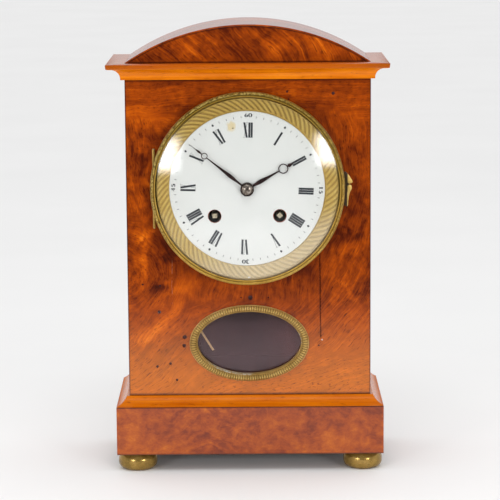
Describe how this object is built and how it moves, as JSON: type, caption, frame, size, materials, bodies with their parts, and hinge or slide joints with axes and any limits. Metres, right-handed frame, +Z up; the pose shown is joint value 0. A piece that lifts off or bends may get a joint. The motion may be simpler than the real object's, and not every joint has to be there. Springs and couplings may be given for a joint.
{
  "type": "table clock",
  "caption": "Veneered table clock with arched pediment, enamel dial behind a hinged domed glass, oval pendulum window, brass bun feet and a striking movement.",
  "frame": {"origin": "on the surface the clock stands on, under the middle of its overall box", "axes": "+Z up; the dial faces -Y; +X to the right as seen from the front"},
  "size_m": [0.2234, 0.129, 0.3587],
  "materials": {
    "flame_mahogany": "french polished",
    "plinth_mahogany": "french polished",
    "fruitwood": "french polished",
    "case_wood": "oiled",
    "gilt_brass": "satin",
    "movement_brass": "satin",
    "steel": "satin",
    "blued_steel": "satin",
    "enamel": "gloss",
    "glass": "gloss",
    "bell_metal": "satin"
  },
  "bodies": {
    "case": {"front_feet": "gilt_brass", "back_feet": "gilt_brass", "plinth": "plinth_mahogany", "bottom_board": "case_wood", "plinth_moulding": "fruitwood", "front_panel": "flame_mahogany", "side_panel_left": "flame_mahogany", "side_panel_right": "flame_mahogany", "back_frame": "case_wood", "top_board": "flame_mahogany", "cornice": "fruitwood", "tympanum": "flame_mahogany", "pediment_back": "case_wood", "pediment_roof": "flame_mahogany", "door_case_hinges": "gilt_brass", "dial_surround": "gilt_brass", "bezel_hinge_pin": "steel", "enamel_dial": "enamel", "window_ring": "gilt_brass", "window_glass": "glass", "pendulum_holdfast": "gilt_brass", "front_plate": "movement_brass", "back_plate": "movement_brass", "plate_pillars": "movement_brass", "movement_screws": "steel", "suspension_cock": "movement_brass", "bell": "bell_metal", "bell_stand": "steel"},
    "bezel": {"bezel_rim": "gilt_brass", "bezel_thumb_tab": "gilt_brass", "dial_glass": "glass"},
    "back_door": {"rear_door": "case_wood", "door_hinge_leaves": "gilt_brass", "door_knob": "gilt_brass"},
    "minutes": {"centre_wheel": "movement_brass", "cannon_pinion": "movement_brass", "minute_hand": "blued_steel", "hand_collet": "steel"},
    "minute_work": {"minute_wheel": "movement_brass"},
    "hours": {"hour_wheel": "movement_brass", "hour_hand": "blued_steel"},
    "second": {"second_wheel": "movement_brass"},
    "third": {"third_wheel": "movement_brass"},
    "escape": {"escape_wheel": "movement_brass"},
    "going_drum": {"going_barrel": "movement_brass", "going_mainspring": "steel"},
    "going_winding": {"going_winding_arbor": "steel"},
    "strike_drum": {"strike_barrel": "movement_brass", "strike_mainspring": "steel"},
    "strike_winding": {"strike_winding_arbor": "steel"},
    "pins": {"pin_wheel": "movement_brass"},
    "strike_second": {"strike_second_wheel": "movement_brass", "count_wheel": "movement_brass"},
    "fly": {"strike_fly": "movement_brass"},
    "hammer_arm": {"hammer": "steel"},
    "anchor": {"pallets": "steel"},
    "pendulum": {"suspension_spring": "steel", "pendulum_rod": "gilt_brass", "pendulum_bob": "gilt_brass"},
    "regulator": {"rating_nut": "gilt_brass"}
  },
  "joints": [
    {"name": "bezel_hinge", "type": "hinge", "parent": "case", "child": "bezel", "pos_m": [-0.075, -0.04975, 0.2299], "axis": [0, 0, -1], "range_deg": [0, 100]},
    {"name": "back_door_hinge", "type": "hinge", "parent": "case", "child": "back_door", "pos_m": [-0.0754, 0.05715, 0.1848], "axis": [0, 0, 1], "range_deg": [0, 105]},
    {"name": "minute_turn", "type": "hinge", "parent": "case", "child": "minutes", "pos_m": [-0.0011, -0.01475, 0.2292], "axis": [0, 1, 0], "continuous": true},
    {"name": "minute_wheel_turn", "type": "hinge", "parent": "case", "child": "minute_work", "pos_m": [-0.0011, -0.03675, 0.2148], "axis": [0, 1, 0], "continuous": true},
    {"name": "hour_turn", "type": "hinge", "parent": "case", "child": "hours", "pos_m": [-0.0011, -0.04075, 0.2292], "axis": [0, 1, 0], "continuous": true},
    {"name": "second_wheel_turn", "type": "hinge", "parent": "case", "child": "second", "pos_m": [0.0169, -0.01475, 0.22955], "axis": [0, 1, 0], "continuous": true},
    {"name": "third_wheel_turn", "type": "hinge", "parent": "case", "child": "third", "pos_m": [0.00491, -0.01475, 0.24444], "axis": [0, 1, 0], "continuous": true},
    {"name": "escape_wheel_turn", "type": "hinge", "parent": "case", "child": "escape", "pos_m": [-0.0011, -0.01475, 0.2577], "axis": [0, 1, 0], "continuous": true},
    {"name": "going_barrel_turn", "type": "hinge", "parent": "case", "child": "going_drum", "pos_m": [0.0248, -0.01475, 0.2074], "axis": [0, 1, 0], "continuous": true},
    {"name": "going_winding_turn", "type": "hinge", "parent": "case", "child": "going_winding", "pos_m": [0.0248, -0.01475, 0.2074], "axis": [0, 1, 0], "continuous": true},
    {"name": "pin_wheel_turn", "type": "hinge", "parent": "case", "child": "pins", "pos_m": [-0.02324, -0.01475, 0.24501], "axis": [0, 1, 0], "continuous": true},
    {"name": "strike_second_turn", "type": "hinge", "parent": "case", "child": "strike_second", "pos_m": [-0.0191, -0.01475, 0.22955], "axis": [0, 1, 0], "continuous": true},
    {"name": "strike_barrel_turn", "type": "hinge", "parent": "case", "child": "strike_drum", "pos_m": [-0.027, -0.01475, 0.2074], "axis": [0, 1, 0], "continuous": true},
    {"name": "fly_turn", "type": "hinge", "parent": "case", "child": "fly", "pos_m": [-0.02864, -0.02275, 0.25659], "axis": [0, 1, 0], "continuous": true},
    {"name": "strike_winding_turn", "type": "hinge", "parent": "case", "child": "strike_winding", "pos_m": [-0.027, -0.01475, 0.2074], "axis": [0, 1, 0], "continuous": true},
    {"name": "hammer_swing", "type": "hinge", "parent": "case", "child": "hammer_arm", "pos_m": [-0.0401, 0.01525, 0.2462], "axis": [0, 1, 0], "range_deg": [-8, 14], "stiffness_Nm_per_rad": 0.05},
    {"name": "pendulum_swing", "type": "hinge", "parent": "case", "child": "pendulum", "pos_m": [-0.0011, 0.01525, 0.2712], "axis": [0, 1, 0], "range_deg": [-4, 4]},
    {"name": "pallets_swing", "type": "hinge", "parent": "case", "child": "anchor", "pos_m": [-0.0011, -0.00675, 0.2712], "axis": [0, 1, 0], "range_deg": [-4, 4]},
    {"name": "rating_nut_turn", "type": "hinge", "parent": "pendulum", "child": "regulator", "pos_m": [-0.0011, 0.01525, 0.1252], "axis": [0, 0, 1], "continuous": true}
  ],
  "couplings": [
    {"joint": "minute_wheel_turn", "follows": "minute_turn", "ratio": -0.33333},
    {"joint": "hour_turn", "follows": "minute_turn", "ratio": 0.083333},
    {"joint": "second_wheel_turn", "follows": "minute_turn", "ratio": -0.125},
    {"joint": "going_barrel_turn", "follows": "minute_turn", "ratio": 0.020833},
    {"joint": "third_wheel_turn", "follows": "minute_turn", "ratio": -12},
    {"joint": "escape_wheel_turn", "follows": "minute_turn", "ratio": 144},
    {"joint": "strike_second_turn", "follows": "pin_wheel_turn", "ratio": -0.11111},
    {"joint": "strike_barrel_turn", "follows": "pin_wheel_turn", "ratio": 0.018519},
    {"joint": "fly_turn", "follows": "pin_wheel_turn", "ratio": -9.1429},
    {"joint": "pallets_swing", "follows": "pendulum_swing", "ratio": 1}
  ]
}
